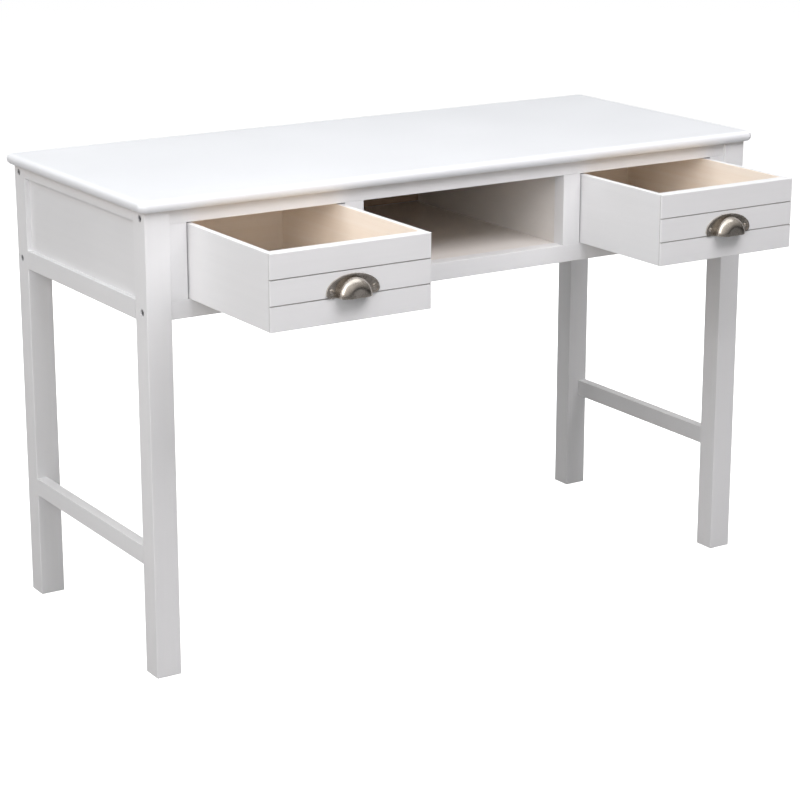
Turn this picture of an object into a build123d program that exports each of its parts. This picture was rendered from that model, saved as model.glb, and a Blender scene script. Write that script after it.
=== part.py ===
from build123d import *
import os

# Writing desk with two drawers and an open cubby, in millimetres.
# X runs along the desk, Y from front to back, Z up from the floor.
# It is laid out with X = 0 at the middle, Y = 0 at the front faces of the legs and Z = 0 at the floor.
# Both drawers are stored part open, and every part is then moved along Y, so that the origin is at the
# bottom centre of the box round the desk with its drawers open.

# Overall sizes
desk_length = 1180
desk_depth = 500
desk_height = 760
top_thick = 18
top_overhang = 12
top_corner_r = 12
top_edge_round = 8.9

# Legs
leg_x = 42
leg_y = 39
eased_edge = 1.2
board_easing = 0.8

# Front and back rails, stiles and the openings between them
rail_recess = 3.5
rail_thick = 25
top_rail_h = 22.5
bottom_rail_h = 29
opening_h = 118.5
end_stile_w = 29.5
mid_stile_w = 34
drawer_opening_w = 278

# Side frames
side_rail_thick = 22
side_upper_rail_h = 18
side_lower_rail_h = 31
panel_thick = 9
panel_recess = 8
groove_depth = 5
groove_play = 0.2
stretcher_thick = 18
stretcher_h = 30
stretcher_z = 179

# Inside pieces
divider_thick = 15
shelf_thick = 9
cleat_size = 15
runner_guide_h = 54
runner_ledge_w = 15
runner_side_play = 0.5
runner_lift = 3
runner_outer_reach = 10
shelf_play = 0.3

# Drawers
drawer_gap_side = 2
drawer_gap_under = 0.5
drawer_gap_over = 2
drawer_back_gap = 0.5
front_thick = 18
front_lip = 3
board_thick = 10
bottom_thick = 5
bottom_inset = 8
bottom_groove = 4
side_dado = 3
back_inset = 8
plank_groove_w = 1.6
plank_groove_depth = 2.2
corner_seam_w = 0.8
corner_seam_depth = 1.6
left_drawer_out = 249
right_drawer_out = 213

# Cup pulls
pull_half_w = 45
pull_half_h = 26
pull_centre_z = 7
flange_thick = 1.8
rim_w = 2.6
rim_proud = 1.2
cup_half_w = 28
cup_h = 29
cup_out = 22
cup_shoulder_r = 16
cup_wall = 1.6
pull_screw_x = 36.5
pull_screw_z = 10.5

# Fasteners
bolt_d = 6
bolt_hole_d = 6.6
bolt_head_d = 10.4
bolt_head_h = 4.5
bolt_socket_d = 4.6
bolt_socket_depth = 2.8
bolt_head_chamfer = 0.5
bolt_play = 0.2
bolt_inset = 16
bolt_length = 74
counterbore_d = 11.4
counterbore_depth = 5.5
nut_d = 10
nut_hole_d = 10.4
nut_length = 12
nut_from_rail_end = 30
dowel_d = 6
dowel_hole_d = 6.2
dowel_short_end = 12
dowel_long_end = 18
dowel_end_play = 0.5
side_lower_dowel_z = (7, 20)
stretcher_dowel_z = (8, 22)
rail_dowel_above_bolt = 7.2
rail_dowel_below_bolt = 9
end_stile_dowel_x = (6, 24)
mid_stile_dowel_x = (9, 25)
stile_dowel_inset = 4.5
divider_dowel_inset = 28
runner_dowel_inset = 16
runner_dowel_drop = 8
screw_d = 3
screw_hole_d = 3.2
screw_head_d = 6.6
countersink_h = 2
dome_share = 0.62
dome_h = 2.2
drive_length = 3.6
drive_w = 0.8
drive_depth = 0.8
screw_row_shares = (0.12, 0.5, 0.88)
runner_screw_up = 14
cleat_screw_up = 7
pull_screw_length = 14
runner_screw_length = 29
cleat_screw_length = 24
bracket_screw_length = 12
bracket_leg = 17
bracket_thick = 2
bracket_w = 18
bracket_hole_share = 0.6

# Levels and planes worked out from the sizes above
frame_length = desk_length - 2 * top_overhang
frame_depth = desk_depth - 2 * top_overhang
side_x = frame_length / 2
inner_x = side_x - leg_x
leg_top = desk_height - top_thick
opening_top = leg_top - top_rail_h
opening_bottom = opening_top - opening_h
apron_bottom = opening_bottom - bottom_rail_h
front_face = rail_recess
rail_back = front_face + rail_thick
back_face = frame_depth - rail_recess
back_rail_front = back_face - rail_thick
bolt_top_z = leg_top - top_rail_h / 2
bolt_low_z = apron_bottom + bottom_rail_h / 2
drawer_outer_x = inner_x - end_stile_w
drawer_inner_x = drawer_outer_x - drawer_opening_w
cubby_x = drawer_inner_x - mid_stile_w
drawer_mid_x = (drawer_outer_x + drawer_inner_x) / 2
drawer_w = drawer_opening_w - 2 * drawer_gap_side
drawer_z = opening_bottom + drawer_gap_under
drawer_h = opening_h - drawer_gap_under - drawer_gap_over
drawer_back = back_rail_front - drawer_back_gap
pull_bottom_z = drawer_z + drawer_h / 3

# The box round the desk reaches from the cup of the drawer that is further out to the back of the top.
front_limit = front_face - max(left_drawer_out, right_drawer_out) - cup_out
back_limit = frame_depth + top_overhang
origin_y = (front_limit + back_limit) / 2


def block(x, y, z):
    """A box between the two X, the two Y and the two Z values, given in either order."""
    centre = ((x[0] + x[1]) / 2, (y[0] + y[1]) / 2, (z[0] + z[1]) / 2)
    return Pos(*centre) * Box(abs(x[1] - x[0]), abs(y[1] - y[0]), abs(z[1] - z[0]))


def rod_x(d, x, y, z):
    """A cylinder along X between the two X values."""
    return Pos((x[0] + x[1]) / 2, y, z) * Rot(0, 90, 0) * Cylinder(d / 2, abs(x[1] - x[0]))


def rod_y(d, x, y, z):
    """A cylinder along Y between the two Y values."""
    return Pos(x, (y[0] + y[1]) / 2, z) * Rot(90, 0, 0) * Cylinder(d / 2, abs(y[1] - y[0]))


def rod_z(d, x, y, z):
    """A cylinder along Z between the two Z values."""
    return Pos(x, y, (z[0] + z[1]) / 2) * Cylinder(d / 2, abs(z[1] - z[0]))


def eased(shape, axis, radius=eased_edge):
    """Softens the long edges that run along one axis."""
    return fillet(shape.edges().filter_by(axis), radius)


def save(name, *solids):
    """Moves the solids into the stored frame and writes them as one node."""
    moved = [Pos(0, -origin_y, 0) * solid for solid in solids]
    export_step(moved[0] if len(moved) == 1 else Compound(children=moved), f"parts/{name}.step")


def dowel(axis, x, y, z, toward=1, first=dowel_short_end, second=dowel_long_end):
    """A dowel and its hole across a joint face at (x, y, z); the second length goes toward one side."""
    rod = {"x": rod_x, "y": rod_y, "z": rod_z}[axis]

    def made(d, play):
        place = {"x": x, "y": y, "z": z}
        centre = place[axis]
        place[axis] = (centre - toward * (first + play), centre + toward * (second + play))
        return rod(d, place["x"], place["y"], place["z"])

    return made(dowel_d, 0), made(dowel_hole_d, dowel_end_play)


def bore(shape, holes):
    """Cuts every hole that reaches the shape."""
    for hole in holes:
        shape = shape - hole
    return shape


def wood_screw(length, countersunk=False):
    """A cross-head screw on a plain shank that points down from the origin."""
    head_r = screw_head_d / 2
    if countersunk:
        head = Pos(0, 0, -countersink_h / 2) * Cone(screw_d / 2, head_r, countersink_h)
    else:
        dome_r = screw_head_d * dome_share
        cap = block((-head_r, head_r), (-head_r, head_r), (0, dome_r))
        head = Pos(0, 0, dome_h - dome_r) * Sphere(dome_r) & cap & rod_z(screw_head_d, 0, 0, (0, dome_r))
    shank = Pos(0, 0, -length / 2) * Cylinder(screw_d / 2, length)
    drive = Box(drive_length, drive_w, 2 * drive_depth) + Box(drive_w, drive_length, 2 * drive_depth)
    drive_top = 0 if countersunk else dome_h
    return head + shank - Pos(0, 0, drive_top) * drive


def screw_cut(length):
    """The pilot hole with the countersink of a flush screw."""
    play = (screw_hole_d - screw_d) / 2
    sink = Pos(0, 0, -countersink_h / 2) * Cone(screw_hole_d / 2, screw_head_d / 2 + play, countersink_h)
    return sink + Pos(0, 0, -length / 2) * Cylinder(screw_hole_d / 2, length + 1)


def bracket():
    """A steel angle with its corner at the origin and legs along -Z and +Y, with its screws."""
    shape = block((-bracket_w / 2, bracket_w / 2), (0, bracket_thick), (-bracket_leg, 0))
    shape += block((-bracket_w / 2, bracket_w / 2), (0, bracket_leg), (-bracket_thick, 0))
    hole_at = bracket_leg * bracket_hole_share
    shape -= rod_y(screw_hole_d, 0, (-1, bracket_thick + 1), -hole_at)
    shape -= rod_z(screw_hole_d, 0, hole_at, (-bracket_thick - 1, 1))
    down_screw = Pos(0, bracket_thick, -hole_at) * Rot(-90, 0, 0) * wood_screw(bracket_screw_length)
    up_screw = Pos(0, hole_at, -bracket_thick) * Rot(180, 0, 0) * wood_screw(bracket_screw_length)
    pilots = [Pos(0, 0, -hole_at) * Rot(90, 0, 0) * Cylinder(screw_hole_d / 2, 2 * bracket_screw_length),
              Pos(0, hole_at, 0) * Cylinder(screw_hole_d / 2, 2 * bracket_screw_length)]
    return shape, [down_screw, up_screw], pilots


os.makedirs("parts", exist_ok=True)

# Tabletop: one board with round corners and a full round along its edge
top = block((-desk_length / 2, desk_length / 2), (-top_overhang, back_limit), (leg_top, desk_height))
top = eased(top, Axis.Z, top_corner_r)
top = fillet(top.faces().sort_by(Axis.Z)[-1].edges(), top_edge_round)
top = fillet(top.faces().sort_by(Axis.Z)[0].edges(), top_edge_round)

# Dowels of the two side frames, of the rail ends, of the stiles, of the dividers and of the runners
side_dowels = []
rail_dowels = []
stile_dowels = []
divider_dowels = []
runner_dowels = []

side_rail_mid = side_x - side_rail_thick / 2
stretcher_mid = side_x - stretcher_thick / 2
side_upper_z = leg_top - side_upper_rail_h / 2
side_dowel_places = [(side_rail_mid, side_upper_z)]
side_dowel_places += [(side_rail_mid, apron_bottom + z) for z in side_lower_dowel_z]
side_dowel_places += [(stretcher_mid, stretcher_z + z) for z in stretcher_dowel_z]
for side in (-1, 1):
    for x, z in side_dowel_places:
        side_dowels.append(dowel("y", side * x, leg_y, z))
        side_dowels.append(dowel("y", side * x, frame_depth - leg_y, z, -1))
    for y in (bolt_inset, frame_depth - bolt_inset):
        for z in (bolt_top_z + rail_dowel_above_bolt, bolt_low_z - rail_dowel_below_bolt):
            rail_dowels.append(dowel("x", side * inner_x, y, z, side))
    for x in (inner_x - inset for inset in end_stile_dowel_x):
        stile_dowels.append(dowel("z", side * x, rail_back - stile_dowel_inset, opening_bottom))
        stile_dowels.append(dowel("z", side * x, rail_back - stile_dowel_inset, opening_top, -1))
    for x in (cubby_x + inset for inset in mid_stile_dowel_x):
        stile_dowels.append(dowel("z", side * x, bolt_inset, opening_bottom))
        stile_dowels.append(dowel("z", side * x, bolt_inset, opening_top, -1))
    divider_mid = side * (cubby_x + divider_thick / 2)
    for z in (opening_bottom + divider_dowel_inset, opening_top - divider_dowel_inset):
        divider_dowels.append(dowel("y", divider_mid, rail_back, z))
    for z in (bolt_low_z, bolt_top_z):
        divider_dowels.append(dowel("y", divider_mid, back_rail_front, z, -1))
    runner_dowel_x = side * (inner_x - runner_dowel_inset)
    runner_dowel_z = bolt_low_z - runner_dowel_drop
    for z in (runner_dowel_z, opening_bottom + runner_dowel_inset):
        runner_dowels.append(dowel("y", runner_dowel_x, rail_back, z))
    runner_dowels.append(dowel("y", runner_dowel_x, back_rail_front, runner_dowel_z, -1))

dowel_holes = [hole for group in (side_dowels, rail_dowels, stile_dowels, divider_dowels, runner_dowels)
               for _, hole in group]

# Frame bolts with a hexagon socket, and the barrel nuts that they screw into, hidden in the rails
bolts = []
nuts = []
bolt_holes = []
head_outer = side_x - counterbore_depth + bolt_head_h
for side in (-1, 1):
    for y in (bolt_inset, frame_depth - bolt_inset):
        for z in (bolt_low_z, bolt_top_z):
            shank_end = head_outer - bolt_head_h - bolt_length
            head = rod_x(bolt_head_d, (side * head_outer, side * (head_outer - bolt_head_h)), y, z)
            head = chamfer(head.edges().filter_by(GeomType.CIRCLE), bolt_head_chamfer)
            shank = rod_x(bolt_d, (side * (head_outer - bolt_head_h), side * shank_end), y, z)
            socket_mid = side * (head_outer - bolt_socket_depth / 2)
            hexagon = RegularPolygon(bolt_socket_d / 2, 6)
            socket = extrude(hexagon, bolt_socket_depth / 2, both=True)
            socket = Pos(socket_mid, y, z) * Rot(0, 90, 0) * socket
            bolts.append(head + shank - socket)
            nut_x = side * (inner_x - nut_from_rail_end)
            nut = rod_z(nut_d, nut_x, y, (z - nut_length / 2, z + nut_length / 2))
            nuts.append(nut - rod_x(bolt_d + bolt_play, (nut_x - nut_d, nut_x + nut_d), y, z))
            open_end = apron_bottom if z == bolt_low_z else leg_top
            deep_end = z + (nut_length / 2 + 1) * (1 if z == bolt_low_z else -1)
            bolt_holes.append(rod_z(nut_hole_d, nut_x, y, (open_end, deep_end)))
            bolt_holes.append(rod_x(bolt_hole_d, (side * side_x, side * (shank_end - 1)), y, z))
            sunk = (side * side_x, side * (side_x - counterbore_depth))
            bolt_holes.append(rod_x(counterbore_d, sunk, y, z))

# Angle brackets under the top: two on the front rail, two on the back rail and one on each side
brackets = []
bracket_screws = []
bracket_pilots = []
bracket_places = []
for side in (-1, 1):
    bracket_places.append(Pos(side * drawer_mid_x, rail_back, leg_top))
    bracket_places.append(Pos(side * drawer_mid_x, back_rail_front, leg_top) * Rot(0, 0, 180))
    side_face = side * (side_x - side_rail_thick)
    bracket_places.append(Pos(side_face, frame_depth / 2, leg_top) * Rot(0, 0, side * 90))
for place in bracket_places:
    shape, screws, pilots = bracket()
    brackets.append(place * shape)
    bracket_screws += [place * screw for screw in screws]
    bracket_pilots += [place * pilot for pilot in pilots]

# Legs, with the stopped grooves that hold the side panels and the back panel
panel_outer = side_x - panel_recess
panel_x = (panel_outer, panel_outer - panel_thick)
panel_z = (apron_bottom + side_lower_rail_h - groove_depth, leg_top - side_upper_rail_h + groove_depth)
panel_y = (leg_y - groove_depth, frame_depth - leg_y + groove_depth)
back_panel_y = (back_face - panel_recess, back_face - panel_recess - panel_thick)
back_panel_z = (opening_bottom - groove_depth, opening_top + groove_depth)
back_panel_x = inner_x + groove_depth


def grown(span):
    """The span with the groove's play added at both ends."""
    low, high = sorted(span)
    return (low - groove_play, high + groove_play)


def side_panel_space(side, grow):
    spans = [(side * panel_x[0], side * panel_x[1]), panel_y, panel_z]
    return block(*([grown(s) for s in spans] if grow else spans))


def back_panel_space(grow):
    spans = [(-back_panel_x, back_panel_x), back_panel_y, back_panel_z]
    return block(*([grown(s) for s in spans] if grow else spans))


grooves = [side_panel_space(-1, True), side_panel_space(1, True), back_panel_space(True)]
cuts = dowel_holes + bolt_holes + grooves + bracket_pilots


def cut_joinery(shape):
    """Cuts the dowel holes, bolt holes and panel grooves that touch the shape's box."""
    box = shape.bounding_box()
    near = []
    for cut in cuts:
        other = cut.bounding_box()
        starts_before = all(getattr(box.min, a) < getattr(other.max, a) for a in "XYZ")
        ends_after = all(getattr(box.max, a) > getattr(other.min, a) for a in "XYZ")
        if starts_before and ends_after:
            near.append(cut)
    return bore(shape, near)


def leg(side, y):
    post = block((side * side_x, side * inner_x), y, (0, leg_top))
    post = eased(post, Axis.Z)
    post = chamfer(post.faces().sort_by(Axis.Z)[0].edges(), board_easing)
    return cut_joinery(post)


# Rails, stiles, stretchers and panels
def rail(x, y, z, axis):
    return cut_joinery(eased(block(x, y, z), axis, board_easing))


front_y = (front_face, rail_back)
back_y = (back_rail_front, back_face)
rail_x = (-inner_x, inner_x)
between_legs = (leg_y, frame_depth - leg_y)

save("tabletop", cut_joinery(top))
save("front_top_rail", rail(rail_x, front_y, (opening_top, leg_top), Axis.X))
save("front_bottom_rail", rail(rail_x, front_y, (apron_bottom, opening_bottom), Axis.X))
save("back_upper_rail", rail(rail_x, back_y, (opening_top, leg_top), Axis.X))
save("back_lower_rail", rail(rail_x, back_y, (apron_bottom, opening_bottom), Axis.X))
save("back_panel", back_panel_space(False))

sides = {"left": -1, "right": 1}
for name, side in sides.items():
    save(f"leg_front_{name}", leg(side, (0, leg_y)))
    save(f"leg_back_{name}", leg(side, (frame_depth - leg_y, frame_depth)))
    outer = side * side_x
    rail_span = (outer, outer - side * side_rail_thick)
    lower_z = (apron_bottom, apron_bottom + side_lower_rail_h)
    upper_z = (leg_top - side_upper_rail_h, leg_top)
    save(f"side_upper_rail_{name}", rail(rail_span, between_legs, upper_z, Axis.Y))
    save(f"side_lower_rail_{name}", rail(rail_span, between_legs, lower_z, Axis.Y))
    save(f"side_panel_{name}", side_panel_space(side, False))
    stretcher_span = (outer, outer - side * stretcher_thick)
    save(f"side_stretcher_{name}",
         rail(stretcher_span, between_legs, (stretcher_z, stretcher_z + stretcher_h), Axis.Y))
    opening_z = (opening_bottom, opening_top)
    save(f"end_stile_{name}", rail((side * inner_x, side * drawer_outer_x), front_y, opening_z, Axis.Z))
    save(f"mid_stile_{name}", rail((side * drawer_inner_x, side * cubby_x), front_y, opening_z, Axis.Z))


# Dividers, cubby shelf and the cleats under it, and the drawer runners
runner_z = (apron_bottom + runner_lift, apron_bottom + runner_lift + runner_guide_h)
runner_screws = []
cleat_screws = []
inside_y = (rail_back, back_rail_front)
screw_rows = [inside_y[0] + share * (inside_y[1] - inside_y[0]) for share in screw_row_shares]
guide_inner_x = drawer_inner_x + drawer_gap_side - runner_side_play
guide_outer_x = drawer_outer_x - drawer_gap_side + runner_side_play
divider_face = cubby_x + divider_thick
shelf_z = (opening_bottom - shelf_thick, opening_bottom)
cleat_z = (shelf_z[0] - cleat_size, shelf_z[0])
for name, side in sides.items():
    divider = cut_joinery(block((side * cubby_x, side * divider_face), inside_y, (apron_bottom, leg_top)))
    inner = block((side * divider_face, side * guide_inner_x), inside_y, runner_z)
    inner += block((side * guide_inner_x, side * (guide_inner_x + runner_ledge_w)), inside_y,
                   (runner_z[0], opening_bottom))
    outer = block((side * (inner_x - runner_outer_reach), side * guide_outer_x), inside_y, runner_z)
    outer += block((side * guide_outer_x, side * (guide_outer_x - runner_ledge_w)), inside_y,
                   (runner_z[0], opening_bottom))
    cleat = block((side * cubby_x, side * (cubby_x - cleat_size)), inside_y, cleat_z)
    for y in screw_rows:
        at = Pos(side * guide_inner_x, y, opening_bottom + runner_screw_up) * Rot(0, side * 90, 0)
        runner_screws.append(at * wood_screw(runner_screw_length, True))
        inner -= at * screw_cut(runner_screw_length)
        divider -= at * screw_cut(runner_screw_length)
        at = Pos(side * (cubby_x - cleat_size), y, cleat_z[0] + cleat_screw_up) * Rot(0, -side * 90, 0)
        cleat_screws.append(at * wood_screw(cleat_screw_length, True))
        cleat -= at * screw_cut(cleat_screw_length)
        divider -= at * screw_cut(cleat_screw_length)
    save(f"divider_{name}", divider)
    save(f"runner_{name}_inner", inner)
    save(f"runner_{name}_outer", cut_joinery(outer))
    save(f"shelf_cleat_{name}", cleat)
save("cubby_shelf", block((-cubby_x + shelf_play, cubby_x - shelf_play), inside_y, shelf_z))
save("runner_screws", *runner_screws)
save("cleat_screws", *cleat_screws)
save("frame_bolts", *bolts)
save("barrel_nuts", *nuts)
save("top_brackets", *brackets)
save("bracket_screws", *bracket_screws)
save("side_frame_dowels", *[rod for rod, _ in side_dowels])
save("rail_end_dowels", *[rod for rod, _ in rail_dowels])
save("stile_dowels", *[rod for rod, _ in stile_dowels])
save("divider_dowels", *[rod for rod, _ in divider_dowels])
save("runner_dowels", *[rod for rod, _ in runner_dowels])


# Cup pull: a hollow oval shell with a round shoulder, open below, on a flange with a raised rim
def plate(outline, thick):
    """The outline, drawn with its lower edge on X, stood up as a plate on a wall at Y = 0."""
    return Rot(90, 0, 0) * extrude(outline, thick)


def cup_form(inset):
    """The cup's outer form, or with an inset the hollow inside it, above the pull's lower edge."""
    half_w, out, height = (size - inset for size in (cup_half_w, cup_out, cup_h))
    boss = plate(Ellipse(half_w, height), out)
    rim = boss.edges().sort_by(Axis.Y)[0]
    boss = fillet(rim, cup_shoulder_r - inset)
    return boss & block((-cup_half_w, cup_half_w), (-cup_out, 0), (0, cup_h))


def flange_form(inset, thick):
    """The flange, or with an inset the field inside its rim: an oval on a foot with round lower corners."""
    half_w = pull_half_w - inset
    oval = Pos(0, pull_centre_z) * Ellipse(half_w, pull_half_h - inset)
    foot = RectangleRounded(2 * half_w, 2 * pull_half_w, pull_centre_z - inset)
    return plate(oval & Pos(0, inset + pull_half_w) * foot, thick)


def cup_pull():
    """The pull on a wall at Y = 0, with the middle of its lower edge at the origin."""
    field = Pos(0, -flange_thick, 0) * flange_form(rim_w, 2 * rim_proud)
    flange = flange_form(0, flange_thick + rim_proud) - field
    for x in (-pull_screw_x, pull_screw_x):
        flange -= rod_y(screw_hole_d, x, (-2 * flange_thick, 1), pull_screw_z)
    return flange + cup_form(0) - cup_form(cup_wall)


# Drawers: a front with two plank grooves, two sides let into its ends, a back and a bottom held in grooves
def drawer(name, mid_x, out):
    half_w = drawer_w / 2
    half_in = half_w - board_thick
    front_y = (front_face, front_face + front_thick)
    side_y = (front_face + front_lip, drawer_back)
    back_y = (drawer_back - back_inset - board_thick, drawer_back - back_inset)
    height = (drawer_z, drawer_z + drawer_h)
    bottom_z = (drawer_z + bottom_inset, drawer_z + bottom_inset + bottom_thick)
    bottom_y = (front_y[1] - bottom_groove, back_y[0] + bottom_groove)
    bottom_x = half_in + bottom_groove
    bottom_space = block((-bottom_x, bottom_x), bottom_y, bottom_z)
    bottom_cut = block(grown((-bottom_x, bottom_x)), grown(bottom_y), grown(bottom_z))

    front = block((-half_w, half_w), front_y, height)
    front = fillet(front.faces().sort_by(Axis.Y)[0].edges(), eased_edge)
    for share in (1 / 3, 2 / 3):
        groove_z = drawer_z + share * drawer_h
        front -= block((-drawer_w, drawer_w), (0, front_face + plank_groove_depth),
                       (groove_z - plank_groove_w / 2, groove_z + plank_groove_w / 2))
    back = block((-half_in - side_dado, half_in + side_dado), back_y, height)
    boards = {}
    for end, side in sides.items():
        span = (side * half_w, side * half_in)
        front -= block((side * (half_w + 1), side * half_in), (side_y[0], front_y[1] + 1), (0, desk_height))
        board = block(span, side_y, height)
        board = eased(board, Axis.Y, board_easing)
        board -= block((side * half_w, side * (half_w - corner_seam_depth)),
                       (side_y[0], side_y[0] + corner_seam_w), (0, desk_height))
        board -= bottom_cut
        board -= block((side * half_in, side * (half_in + side_dado)), back_y, (0, desk_height))
        boards[end] = board
    pull_at = Pos(0, front_face, pull_bottom_z)
    screws = []
    for x in (-pull_screw_x, pull_screw_x):
        screw_at = Pos(x, front_face - flange_thick, pull_bottom_z + pull_screw_z) * Rot(90, 0, 0)
        screws.append(screw_at * wood_screw(pull_screw_length))
        front -= screw_at * Cylinder(screw_hole_d / 2, 2 * pull_screw_length + 1)

    moved = Pos(mid_x, -out, 0)
    save(f"drawer_{name}_front", moved * (front - bottom_cut))
    save(f"drawer_{name}_side_left", moved * boards["left"])
    save(f"drawer_{name}_side_right", moved * boards["right"])
    save(f"drawer_{name}_back", moved * (back - bottom_cut))
    save(f"drawer_{name}_bottom", moved * bottom_space)
    save(f"drawer_{name}_cup_pull", moved * pull_at * cup_pull())
    save(f"drawer_{name}_pull_screws", *[moved * screw for screw in screws])


drawer("left", -drawer_mid_x, left_drawer_out)
drawer("right", drawer_mid_x, right_drawer_out)
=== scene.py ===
import math

import bpy
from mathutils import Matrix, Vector


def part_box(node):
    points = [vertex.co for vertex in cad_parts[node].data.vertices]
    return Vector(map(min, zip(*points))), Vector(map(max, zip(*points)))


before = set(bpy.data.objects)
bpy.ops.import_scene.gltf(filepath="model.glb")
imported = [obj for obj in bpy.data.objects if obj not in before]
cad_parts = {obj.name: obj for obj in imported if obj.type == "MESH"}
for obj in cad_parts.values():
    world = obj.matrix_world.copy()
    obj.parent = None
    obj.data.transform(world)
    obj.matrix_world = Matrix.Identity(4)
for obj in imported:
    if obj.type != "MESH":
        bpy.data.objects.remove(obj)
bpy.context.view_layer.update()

# Looks of a white painted writing desk with two drawers: paint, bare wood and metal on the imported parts,
# a pale floor, soft studio light and the photograph's camera. Lengths are in metres.

# Camera
CAMERA_AT = (-2.0834, -3.1775, 1.4435)
CAMERA_YAW = -32.5
CAMERA_PITCH = 15.26
FRAME_PIXELS = 800
FOCAL_PIXELS = 2340.5
SENSOR = 36
SHIFT_Y = -0.05
FAR_CLIP = 200

# Boards by the direction that their grain runs in
GRAIN_X = [
    "tabletop", "front_top_rail", "front_bottom_rail", "back_upper_rail", "back_lower_rail",
    "back_panel", "cubby_shelf", "drawer_left_front", "drawer_right_front",
]
GRAIN_Y = [
    "side_upper_rail_left", "side_upper_rail_right", "side_lower_rail_left", "side_lower_rail_right",
    "side_panel_left", "side_panel_right", "side_stretcher_left", "side_stretcher_right",
    "divider_left", "divider_right",
]
GRAIN_Z = [
    "leg_front_left", "leg_front_right", "leg_back_left", "leg_back_right",
    "end_stile_left", "end_stile_right", "mid_stile_left", "mid_stile_right",
]
RUNNERS = [
    "runner_left_inner", "runner_left_outer", "runner_right_inner", "runner_right_outer",
    "shelf_cleat_left", "shelf_cleat_right",
]
DOWELS = ["side_frame_dowels", "rail_end_dowels", "stile_dowels", "divider_dowels", "runner_dowels"]
STEEL = ["frame_bolts", "barrel_nuts", "top_brackets", "bracket_screws", "cleat_screws", "runner_screws"]
DRAWERS = ["left", "right"]

# Colours, each with the darker tone that varies it
WHITE = (0.86, 0.865, 0.875)
WHITE_DIM = (0.825, 0.83, 0.84)
# The top's white, bluer and a touch lighter than the other paint: a painted sheen of the bluish overhead
# light
TOP_PAINTED_SHEEN = (0.87, 0.885, 0.91)
TOP_PAINTED_SHEEN_DIM = (0.845, 0.862, 0.89)
# Warmer copy of the white for inside the cubby: painted warm bounce light, where the real paint is the
# same white
CUBBY_WARM_BOUNCE = (0.865, 0.845, 0.82)
CUBBY_WARM_BOUNCE_DIM = (0.835, 0.805, 0.77)
# Darker grey for the drawers' grooves and seams: painted shade, where the real paint is the same white
GROOVE_PAINTED_SHADE = (0.54, 0.53, 0.525)
GROOVE_PAINTED_SHADE_DIM = (0.45, 0.44, 0.435)
PINE = (0.93, 0.86, 0.78)
PINE_DARK = (0.88, 0.785, 0.68)
PLY = (0.91, 0.835, 0.755)
PLY_DARK = (0.86, 0.76, 0.655)
HARDBOARD = (0.66, 0.52, 0.40)
HARDBOARD_DARK = (0.56, 0.42, 0.31)
BEECH = (0.70, 0.52, 0.35)
BEECH_DARK = (0.55, 0.38, 0.24)
NICKEL = (0.74, 0.69, 0.63)
NICKEL_TARNISHED = (0.20, 0.165, 0.14)
ZINC = (0.62, 0.62, 0.63)
ZINC_DARK = (0.42, 0.42, 0.44)

# Roughness of the finishes
SATIN = 0.42
TOP_SATIN = 0.34
CUBBY_WARM_BOUNCE_SATIN = 0.45
HOLLOW_ROUGH = 0.6
BARE_ROUGH = 0.55
FIBRE_ROUGH = 0.6
ZINC_ROUGH = 0.34
TOP_COAT = 0.15
COAT_ROUGH = 0.3

# Growth rings per metre across a board
PINE_RINGS = 60
PLY_RINGS = 38
BEECH_RINGS = 220
HARDBOARD_RINGS = 300

# Heights of the relief in the surfaces
PORE_RELIEF = 0.00006
GRAIN_RELIEF = 0.00010
ROLLER_RELIEF = 0.000035
FIBRE_RELIEF = 0.00008
RING_RELIEF = 0.00006
CAST_RELIEF = 0.00006
RUB_RELIEF = 0.00001

# A face looks along an axis when its normal has at least this much of it
ROUGHLY = 0.7
SQUARELY = 0.9
EXACTLY = 0.95
INWARD = 0.05
# A face this far inside the drawer front's outline, and no deeper than the reach, belongs to a groove
GROOVE_SKIN = 0.0006
GROOVE_REACH = 0.0026


class Tree:
    """A node tree, with short ways to add, feed and join its nodes."""

    def __init__(self, owner):
        owner.use_nodes = True
        self.nodes = owner.node_tree.nodes
        self.links = owner.node_tree.links

    def add(self, kind, inputs=None, **settings):
        node = self.nodes.new(kind)
        for key, value in settings.items():
            setattr(node, key, value)
        for key, value in (inputs or {}).items():
            self.feed(node.inputs[key], value)
        return node

    def feed(self, socket, value):
        if isinstance(value, bpy.types.NodeSocket):
            self.links.new(value, socket)
        else:
            socket.default_value = value

    def noise(self, place, scale=1, detail=4, roughness=0.55, distortion=0):
        return self.add("ShaderNodeTexNoise", {
            "Vector": place, "Scale": scale, "Detail": detail,
            "Roughness": roughness, "Distortion": distortion,
        }).outputs["Fac"]

    def spread(self, value, low, high, to_low=0, to_high=1):
        """Stretches the part of value between low and high over to_low to to_high."""
        return self.add("ShaderNodeMapRange", {
            "Value": value, "From Min": low, "From Max": high, "To Min": to_low, "To Max": to_high,
        }).outputs["Result"]

    def math(self, operation, a, b):
        return self.add("ShaderNodeMath", {0: a, 1: b}, operation=operation).outputs[0]

    def sum(self, *parts):
        """Adds up pairs of a value and its share."""
        total = None
        for value, share in parts:
            part = self.math("MULTIPLY", value, share)
            total = part if total is None else self.math("ADD", total, part)
        return total

    def blend(self, share, a, b):
        """Colour a where share is 0 and colour b where it is 1."""
        node = self.add("ShaderNodeMix", data_type="RGBA")
        colours = [s for s in node.inputs if s.type == "RGBA"]
        self.feed(node.inputs["Factor"], share)
        for socket, colour in zip(colours, (a, b)):
            self.feed(socket, colour if isinstance(colour, bpy.types.NodeSocket) else (*colour, 1))
        return [s for s in node.outputs if s.type == "RGBA"][0]

    def either(self, share, a, b):
        """Shader a where share is 0 and shader b where it is 1."""
        return self.add("ShaderNodeMixShader", {0: share, 1: a, 2: b}).outputs[0]

    def bump(self, height, distance, normal=None):
        node = self.add("ShaderNodeBump", {"Height": height, "Distance": distance})
        if normal is not None:
            self.feed(node.inputs["Normal"], normal)
        return node.outputs["Normal"]


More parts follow.
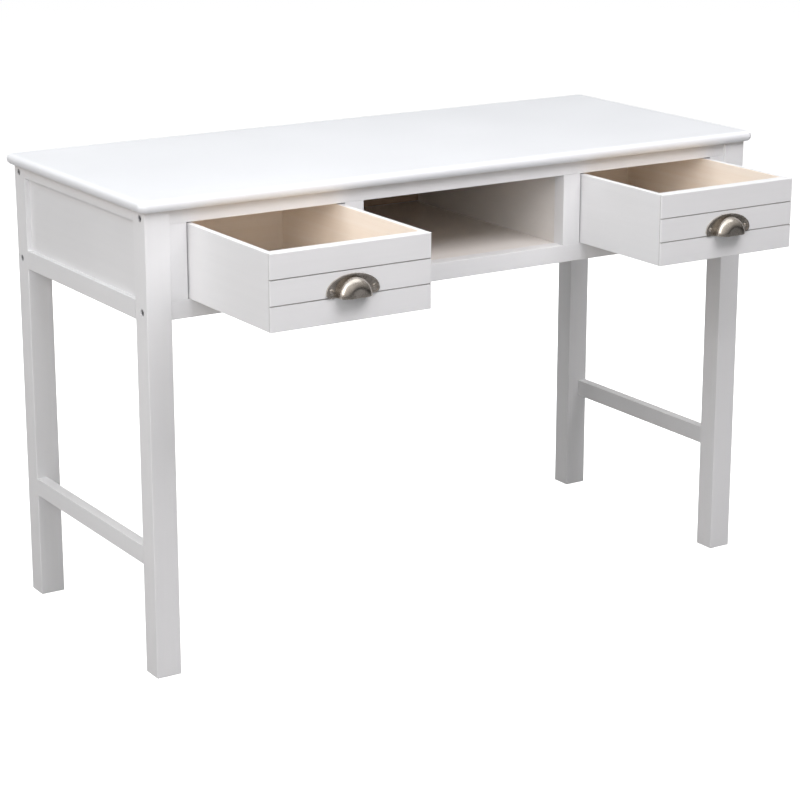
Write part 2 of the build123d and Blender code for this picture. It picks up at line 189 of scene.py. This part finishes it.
class Surface(Tree):
    """A material's node tree, with its shader and the object's own coordinates at hand."""

    def __init__(self, name):
        self.material = bpy.data.materials.new(name)
        super().__init__(self.material)
        self.shader = self.nodes["Principled BSDF"]
        self.place = self.add("ShaderNodeTexCoord").outputs["Object"]

    def stretched(self, scale):
        """The object's own coordinates, scaled along each axis."""
        return self.add("ShaderNodeMapping", {"Vector": self.place, "Scale": scale}).outputs["Vector"]

    def finish(self, colour, roughness, normal, metallic=0):
        for key, value in (("Base Color", colour), ("Roughness", roughness), ("Normal", normal)):
            self.feed(self.shader.inputs[key], value)
        self.shader.inputs["Metallic"].default_value = metallic
        return self.material


def along(axis, fine, coarse):
    """A scale that is coarse along one axis and fine across it."""
    return tuple(coarse if i == "xyz".index(axis) else fine for i in range(3))


def painted(name, axis, light, dark, roughness, coat=0.0):
    """Satin white paint over softwood: faint grain under the paint, the roller's fine texture, and small
    changes of tone and gloss."""
    t = Surface(name)
    grain = t.noise(t.stretched(along(axis, 95, 3.2)), detail=6, roughness=0.62, distortion=0.35)
    pores = t.noise(t.stretched(along(axis, 820, 22)), detail=3, roughness=0.6)
    cloud = t.noise(t.place, scale=4.5, detail=3)
    roller = t.noise(t.place, scale=620, detail=2)
    tone = t.math("ADD", t.spread(grain, 0.3, 0.7, 0, 0.5), t.spread(cloud, 0.3, 0.7, 0, 0.5))
    piece = t.add("ShaderNodeObjectInfo").outputs["Random"]
    shade = t.add("ShaderNodeHueSaturation", {
        "Value": t.spread(piece, 0, 1, 0.985, 1.01), "Color": t.blend(tone, dark, light),
    }).outputs["Color"]
    gloss = t.spread(t.sum((cloud, 0.5), (grain, 0.5)), 0.3, 0.7, roughness - 0.05, roughness + 0.07)
    ridges = t.bump(grain, GRAIN_RELIEF, t.bump(pores, PORE_RELIEF))
    t.shader.inputs["Coat Weight"].default_value = coat
    t.shader.inputs["Coat Roughness"].default_value = COAT_ROUGH
    return t.finish(shade, gloss, t.bump(roller, ROLLER_RELIEF, ridges))


def bare_wood(name, axis, light, dark, ring_scale, roughness):
    """Planed wood or board under clear lacquer: soft growth rings drawn out along the board, short dark
    fibres and a slow change of warmth."""
    t = Surface(name)
    rings = t.noise(t.stretched(along(axis, ring_scale, 1.4)), detail=5, distortion=0.8)
    fibres = t.noise(t.stretched(along(axis, 900, 16)), roughness=0.65)
    cloud = t.noise(t.place, scale=5, detail=2)
    tone = t.sum((t.spread(rings, 0.35, 0.65), 0.55), (t.spread(fibres, 0.35, 0.7), 0.25),
                 (t.spread(cloud, 0.3, 0.7), 0.2))
    gloss = t.spread(fibres, 0.3, 0.7, roughness - 0.06, roughness + 0.08)
    return t.finish(t.blend(tone, light, dark), gloss,
                    t.bump(fibres, FIBRE_RELIEF, t.bump(rings, RING_RELIEF)))


def nickel(name, light, dark):
    """Antique nickel: a warm grey metal with cloudy tarnish, fine rubbing marks and darker hollows."""
    t = Surface(name)
    cloud = t.noise(t.place, scale=85, detail=5, roughness=0.6)
    rubbed = t.noise(t.stretched((60, 900, 900)), detail=3)
    worn = t.spread(t.add("ShaderNodeNewGeometry").outputs["Pointiness"], 0.44, 0.53)
    tone = t.math("MULTIPLY", t.spread(cloud, 0.25, 0.7, 0.55, 1), t.spread(worn, 0, 1, 0.6, 1))
    return t.finish(t.blend(tone, dark, light), t.spread(cloud, 0.3, 0.75, 0.32, 0.17),
                    t.bump(rubbed, RUB_RELIEF, t.bump(cloud, CAST_RELIEF)), metallic=1)


def steel(name, light, dark, roughness):
    """Zinc plated steel, cloudy and lightly scratched."""
    t = Surface(name)
    cloud = t.noise(t.place, scale=160)
    scratch = t.noise(t.stretched((1400, 90, 700)), detail=2)
    return t.finish(t.blend(t.spread(cloud, 0.3, 0.7), dark, light),
                    t.spread(scratch, 0.3, 0.7, roughness - 0.08, roughness + 0.1),
                    t.bump(scratch, RUB_RELIEF), metallic=1)


def dress(nodes, material):
    for name in nodes:
        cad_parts[name].data.materials.clear()
        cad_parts[name].data.materials.append(material)


def dress_inside(name, material, is_inside):
    """Gives a second material to the faces of a board that is_inside picks by normal and centre."""
    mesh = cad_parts[name].data
    mesh.materials.append(material)
    inside = len(mesh.materials) - 1
    for face in mesh.polygons:
        if is_inside(face.normal, face.center):
            face.material_index = inside


def dress_drawer(side):
    """Bare wood inside a drawer, paint outside, and a darker grey in the grooves and seams that paints in
    their shade.
    """
    front = f"drawer_{side}_front"
    low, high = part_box(front)
    middle = (low.x + high.x) / 2

    def faces_middle_or_back(normal, centre):
        return normal.x * (middle - centre.x) > INWARD or normal.y > ROUGHLY

    def in_groove(normal, centre):
        between = all(low[i] + GROOVE_SKIN < centre[i] < high[i] - GROOVE_SKIN for i in (0, 2))
        near_front = low.y + GROOVE_SKIN < centre.y < low.y + GROOVE_REACH
        return between and near_front and (normal.y < -ROUGHLY or abs(normal.z) > SQUARELY)

    dress([f"drawer_{side}_back"], pine_x)
    dress([f"drawer_{side}_bottom"], ply_x)
    dress([f"drawer_{side}_cup_pull", f"drawer_{side}_pull_screws"], pull_metal)
    for board in (f"drawer_{side}_side_left", f"drawer_{side}_side_right"):
        dress([board], paint_y)
        dress_inside(board, pine_y, faces_middle_or_back)
        # Faces of the sides that look forward, in the seam at the drawer front, get the painted shade
        dress_inside(board, groove_painted_shade, lambda n, c: n.y < -ROUGHLY)
    dress_inside(front, pine_x, lambda n, c: n.y > ROUGHLY)
    # Faces inside the drawer front's grooves get the painted shade
    dress_inside(front, groove_painted_shade, in_groove)


# Paint, wood and metal
paint_x = painted("paint_grain_x", "x", WHITE, WHITE_DIM, SATIN)
paint_y = painted("paint_grain_y", "y", WHITE, WHITE_DIM, SATIN)
paint_z = painted("paint_grain_z", "z", WHITE, WHITE_DIM, SATIN)
# Top paint, its colour carrying a painted sheen of the bluish overhead light
paint_top_painted_sheen = painted("paint_top_painted_sheen", "x", TOP_PAINTED_SHEEN, TOP_PAINTED_SHEEN_DIM, TOP_SATIN, coat=TOP_COAT)
# Painted shade for the grooves and seams
groove_painted_shade = painted("painted_shade_in_grooves", "x", GROOVE_PAINTED_SHADE, GROOVE_PAINTED_SHADE_DIM, HOLLOW_ROUGH)
# Paint for inside the cubby, warmed to paint in the light bounced about in there
cubby_warm_bounce_x = painted("paint_warm_bounce_grain_x", "x", CUBBY_WARM_BOUNCE, CUBBY_WARM_BOUNCE_DIM, CUBBY_WARM_BOUNCE_SATIN)
cubby_warm_bounce_y = painted("paint_warm_bounce_grain_y", "y", CUBBY_WARM_BOUNCE, CUBBY_WARM_BOUNCE_DIM, CUBBY_WARM_BOUNCE_SATIN)
pine_x = bare_wood("pine_grain_x", "x", PINE, PINE_DARK, PINE_RINGS, BARE_ROUGH)
pine_y = bare_wood("pine_grain_y", "y", PINE, PINE_DARK, PINE_RINGS, BARE_ROUGH)
ply_x = bare_wood("plywood", "x", PLY, PLY_DARK, PLY_RINGS, BARE_ROUGH)
hardboard = bare_wood("hardboard", "x", HARDBOARD, HARDBOARD_DARK, HARDBOARD_RINGS, FIBRE_ROUGH)
beech = bare_wood("beech", "x", BEECH, BEECH_DARK, BEECH_RINGS, FIBRE_ROUGH)
pull_metal = nickel("antique_nickel", NICKEL, NICKEL_TARNISHED)
zinc = steel("zinc_steel", ZINC, ZINC_DARK, ZINC_ROUGH)

dress(GRAIN_X, paint_x)
dress(GRAIN_Y, paint_y)
dress(GRAIN_Z, paint_z)
dress(["tabletop"], paint_top_painted_sheen)
dress(RUNNERS, pine_y)
dress(DOWELS, beech)
dress(STEEL, zinc)
for side in DRAWERS:
    dress_drawer(side)

# Unpainted faces behind the cubby and under the top, and inside the cubby a warmer copy of the white
# paint: painted warm light bounced about in the cubby
dress_inside("back_panel", hardboard, lambda n, c: n.y < -ROUGHLY)
dress_inside("divider_left", cubby_warm_bounce_y, lambda n, c: n.x > SQUARELY)
dress_inside("divider_right", cubby_warm_bounce_y, lambda n, c: n.x < -SQUARELY)
dress_inside("cubby_shelf", cubby_warm_bounce_x, lambda n, c: n.z > SQUARELY)
dress_inside("tabletop", hardboard, lambda n, c: n.z < -EXACTLY)

# Floor: nearly white where it is seen, and duller where it throws light back at the desk
FLOOR_HALF = 30
FLOOR_SEEN = 0.96
FLOOR_SPECKLE = 40
SEEN_TONES = ((0.90, 0.90, 0.90), (0.93, 0.93, 0.93))
DULL_TONES = ((0.38, 0.38, 0.38), (0.42, 0.42, 0.42))

floor_mesh = bpy.data.meshes.new("floor")
corners = ((-1, -1), (1, -1), (1, 1), (-1, 1))
floor_mesh.from_pydata([(x * FLOOR_HALF, y * FLOOR_HALF, 0) for x, y in corners], [], [(0, 1, 2, 3)])
floor = bpy.data.objects.new("floor", floor_mesh)
bpy.context.scene.collection.objects.link(floor)

pale = Surface("pale_floor")
pale.nodes.remove(pale.shader)
seen = pale.add("ShaderNodeLightPath").outputs["Is Camera Ray"]
speckle = pale.noise(pale.place, scale=FLOOR_SPECKLE, detail=3)
tones = pale.blend(seen, pale.blend(speckle, *DULL_TONES), pale.blend(speckle, *SEEN_TONES))
lit = pale.add("ShaderNodeBsdfDiffuse", {"Color": tones})
glow = pale.add("ShaderNodeEmission", {"Strength": pale.math("MULTIPLY", seen, FLOOR_SEEN)})
both = pale.add("ShaderNodeAddShader", {0: lit.outputs[0], 1: glow.outputs[0]})
pale.feed(pale.nodes["Material Output"].inputs["Surface"], both.outputs[0])
floor.data.materials.append(pale.material)

# World: white behind the desk, a little even light on it, and for gloss a pale room that is brighter
# overhead and on the left
BACKDROP = 1.05
AMBIENT = 0.02
ROOM_COLOUR = (1.0, 0.97, 0.93, 1)
# Axis, the directions it runs between, and the brightness at each
ROOM_RISE = ("Z", -0.1, 0.6, 0.03, 0.55)
ROOM_SIDE = ("X", 0.5, -0.8, -0.03, 0.35)

world = bpy.data.worlds.new("studio")
bpy.context.scene.world = world
studio = Tree(world)
ray = studio.add("ShaderNodeLightPath").outputs
direction = studio.add("ShaderNodeSeparateXYZ", {
    "Vector": studio.add("ShaderNodeTexCoord").outputs["Generated"],
}).outputs
ramps = [studio.spread(direction[axis], *span) for axis, *span in (ROOM_RISE, ROOM_SIDE)]
backdrop, ambient, room = (
    studio.add("ShaderNodeBackground", {"Color": colour, "Strength": strength}).outputs[0]
    for colour, strength in (
        ((1, 1, 1, 1), BACKDROP), ((1, 1, 1, 1), AMBIENT), (ROOM_COLOUR, studio.math("ADD", *ramps)),
    )
)
around = studio.either(ray["Is Glossy Ray"], ambient, room)
studio.feed(studio.nodes["World Output"].inputs["Surface"],
            studio.either(ray["Is Camera Ray"], around, backdrop))

# Soft boxes: name, place, aimed at, width, height, power in watts, colour
LIGHTS = [
    ("overhead", (0.0, -0.2, 2.9), (0.0, -0.2, 0.0), 3.4, 2.4, 31, (0.96, 0.99, 1.0)),
    ("front_top", (0.2, -2.1, 3.1), (0.0, 0.0, 0.5), 3.0, 1.4, 71, (1.0, 0.965, 0.975)),
    ("left_high", (-3.0, -0.3, 1.9), (0.0, 0.0, 0.4), 1.8, 1.8, 30, (1.0, 0.93, 0.89)),
    ("left_top", (-2.1, -0.1, 2.9), (0.0, 0.0, 0.5), 1.8, 1.2, 14, (0.82, 0.93, 1.0)),
    ("left_front", (-2.4, -2.4, 1.9), (0.0, 0.0, 0.5), 1.8, 1.6, 30, (1.0, 0.985, 0.985)),
    ("front_low", (0.3, -3.4, 0.8), (0.0, 0.0, 0.5), 3.0, 1.2, 4, (1.0, 1.0, 1.0)),
    ("right_high", (3.0, 0.3, 1.5), (0.0, 0.0, 0.4), 1.8, 1.6, 26, (1.0, 1.0, 1.0)),
    ("back_high", (0.0, 3.2, 1.5), (0.0, 0.0, 0.5), 3.2, 1.6, 46, (1.0, 0.99, 0.98)),
]
# The boxes that show in gloss
MIRRORED = ["overhead", "left_high", "left_top"]
for name, place, aim, width, height, power, colour in LIGHTS:
    lamp = bpy.data.lights.new(name, "AREA")
    lamp.shape = "RECTANGLE"
    lamp.size = width
    lamp.size_y = height
    lamp.energy = power
    lamp.color = colour
    box = bpy.data.objects.new(name, lamp)
    box.visible_glossy = name in MIRRORED
    box.location = place
    box.rotation_euler = (Vector(aim) - Vector(place)).to_track_quat("-Z", "Y").to_euler()
    bpy.context.scene.collection.objects.link(box)

# Camera
yaw = math.radians(CAMERA_YAW)
pitch = math.radians(CAMERA_PITCH)
ahead = Vector((-math.sin(yaw) * math.cos(pitch), math.cos(yaw) * math.cos(pitch), -math.sin(pitch)))
lens = bpy.data.cameras.new("camera")
lens.sensor_width = SENSOR
lens.lens = FOCAL_PIXELS * SENSOR / FRAME_PIXELS
lens.shift_y = SHIFT_Y
lens.clip_end = FAR_CLIP
camera = bpy.data.objects.new("camera", lens)
camera.location = CAMERA_AT
camera.rotation_euler = ahead.to_track_quat("-Z", "Y").to_euler()
bpy.context.scene.collection.objects.link(camera)
bpy.context.scene.camera = camera
bpy.context.scene.view_settings.view_transform = "Standard"
